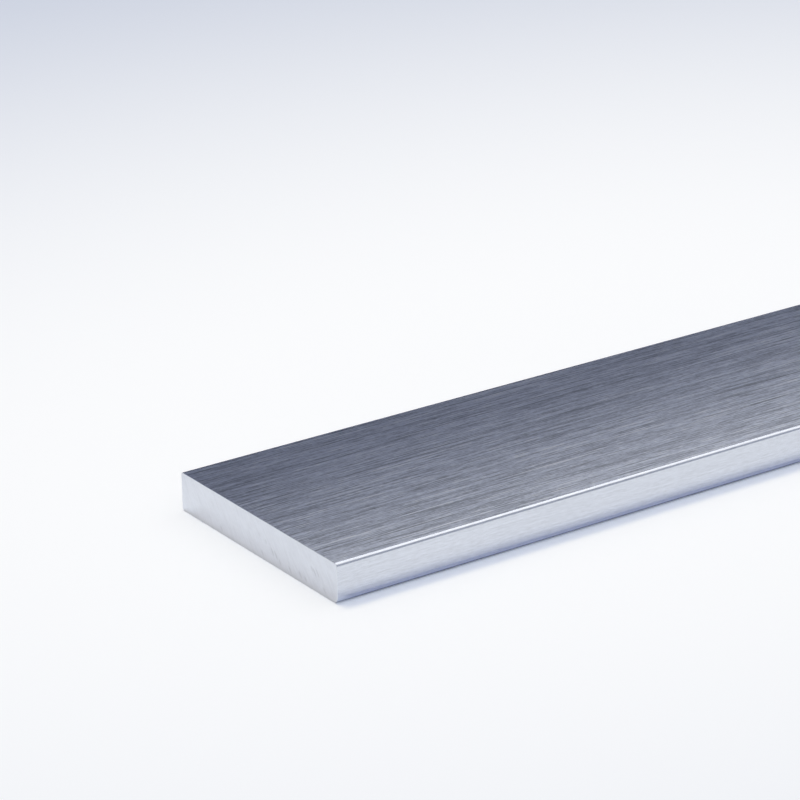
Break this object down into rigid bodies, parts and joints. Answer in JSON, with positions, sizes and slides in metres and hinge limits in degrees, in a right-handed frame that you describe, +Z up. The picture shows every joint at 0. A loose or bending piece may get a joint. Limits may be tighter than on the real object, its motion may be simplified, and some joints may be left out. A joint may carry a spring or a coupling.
{
  "type": "metal flat bar",
  "caption": "Straight rectangular flat bar with a brushed finish, lightly rounded long edges and square sawn ends; stock for frames, brackets and straps.",
  "frame": {"origin": "middle of the bottom face, where the bar rests on a level floor", "axes": "+X along the bar, +Y across its width, +Z up through its thickness"},
  "size_m": [0.5, 0.04, 0.006],
  "materials": {
    "brushed_steel": "belt-ground along its length, with sawn ends"
  },
  "bodies": {
    "root": {"flat_bar": "brushed_steel"}
  },
  "joints": []
}
